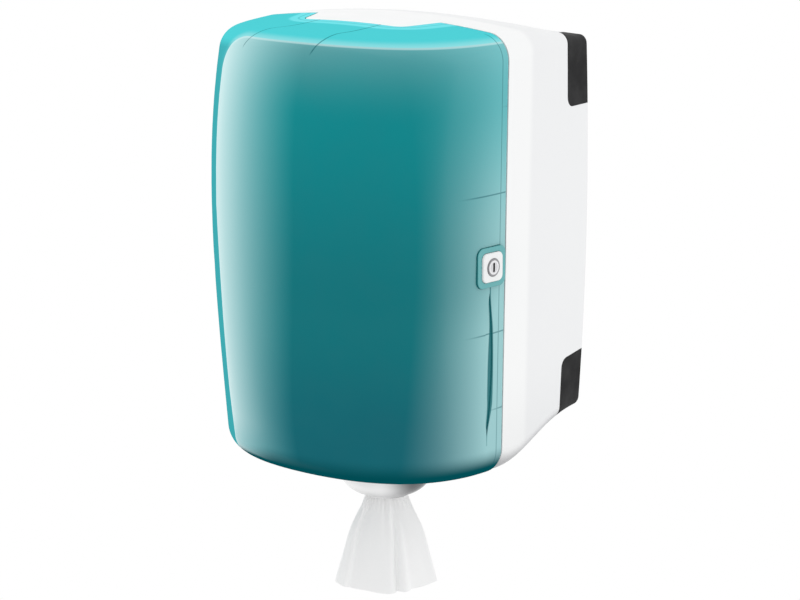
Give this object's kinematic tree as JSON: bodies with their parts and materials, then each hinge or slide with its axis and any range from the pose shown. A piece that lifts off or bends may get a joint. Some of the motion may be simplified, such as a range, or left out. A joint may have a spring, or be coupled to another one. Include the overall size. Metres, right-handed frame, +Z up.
{
  "type": "wipe roll dispenser",
  "caption": "Wall dispenser with a bulging translucent cover hinged at one side, a push-button key lock, a roll shelf and a round nozzle that feeds a wipe downwards.",
  "frame": {"origin": "centre of the four wall screw holes, on the wall face of the back plate", "axes": "+Y into the wall, so the cover faces -Y; +Z up; +X to the right seen from the front"},
  "size_m": [0.3189, 0.3021, 0.6022],
  "materials": {
    "cover_teal": "glossy translucent moulding",
    "bezel_teal": "glossy",
    "housing_white": "satin moulding",
    "shelf_white": "satin",
    "bumper_grey": "fine grain",
    "button_white": "glossy",
    "case_black": "satin",
    "cylinder_grey": "turned",
    "latch_steel": "zinc plated",
    "steel": "zinc plated",
    "nozzle_white": "glossy",
    "tear_ring_grey": "satin",
    "wipe_white": "soft nonwoven",
    "roll_white": "soft wound layers"
  },
  "bodies": {
    "housing": {"rear_housing": "housing_white", "bumper_top_left": "bumper_grey", "bumper_top_right": "bumper_grey", "bumper_bottom_left": "bumper_grey", "bumper_bottom_right": "bumper_grey", "hinge_pin_lower": "steel", "hinge_pin_upper": "steel", "latch_strike": "steel", "strike_screws": "steel", "roll_shelf": "shelf_white", "shelf_screws": "steel", "nozzle_collar": "shelf_white", "collar_screws": "steel"},
    "cover": {"front_cover": "cover_teal", "lock_bezel": "bezel_teal", "lock_case": "case_black", "lock_case_screws": "steel", "latch_pin": "steel"},
    "lock_button": {"lock_button": "button_white"},
    "key_cylinder": {"key_cylinder": "cylinder_grey", "cylinder_clip": "steel", "cylinder_cam": "steel"},
    "latch": {"latch_hook": "latch_steel"},
    "nozzle": {"nozzle": "nozzle_white", "tear_ring": "tear_ring_grey", "wipe_tail": "wipe_white"},
    "roll": {"wipe_roll": "roll_white"}
  },
  "joints": [
    {"name": "cover_swing", "type": "hinge", "parent": "housing", "child": "cover", "pos_m": [-0.14, -0.131, 0], "axis": [0, 0, -1], "range_deg": [0, 100]},
    {"name": "button_press", "type": "slide", "parent": "cover", "child": "lock_button", "axis": [-0.9945, 0.1045, 0], "range_m": [0, 0.0025], "stiffness_N_per_m": 400},
    {"name": "key_turn", "type": "hinge", "parent": "lock_button", "child": "key_cylinder", "pos_m": [0.15441, -0.1775, -0.0175], "axis": [0.9945, -0.1045, 0], "range_deg": [0, 90]},
    {"name": "latch_release", "type": "hinge", "parent": "cover", "child": "latch", "pos_m": [0.13753, -0.1898, -0.0175], "axis": [0, 0, 1], "range_deg": [0, 10.3]},
    {"name": "nozzle_swivel", "type": "hinge", "parent": "housing", "child": "nozzle", "pos_m": [0, -0.141, -0.2], "axis": [0, 0, 1], "continuous": true},
    {"name": "roll_turn", "type": "hinge", "parent": "housing", "child": "roll", "pos_m": [0, -0.141, 0], "axis": [0, 0, 1], "continuous": true}
  ],
  "couplings": [
    {"joint": "latch_release", "follows": "button_press", "rad_per_m": 71.429}
  ]
}
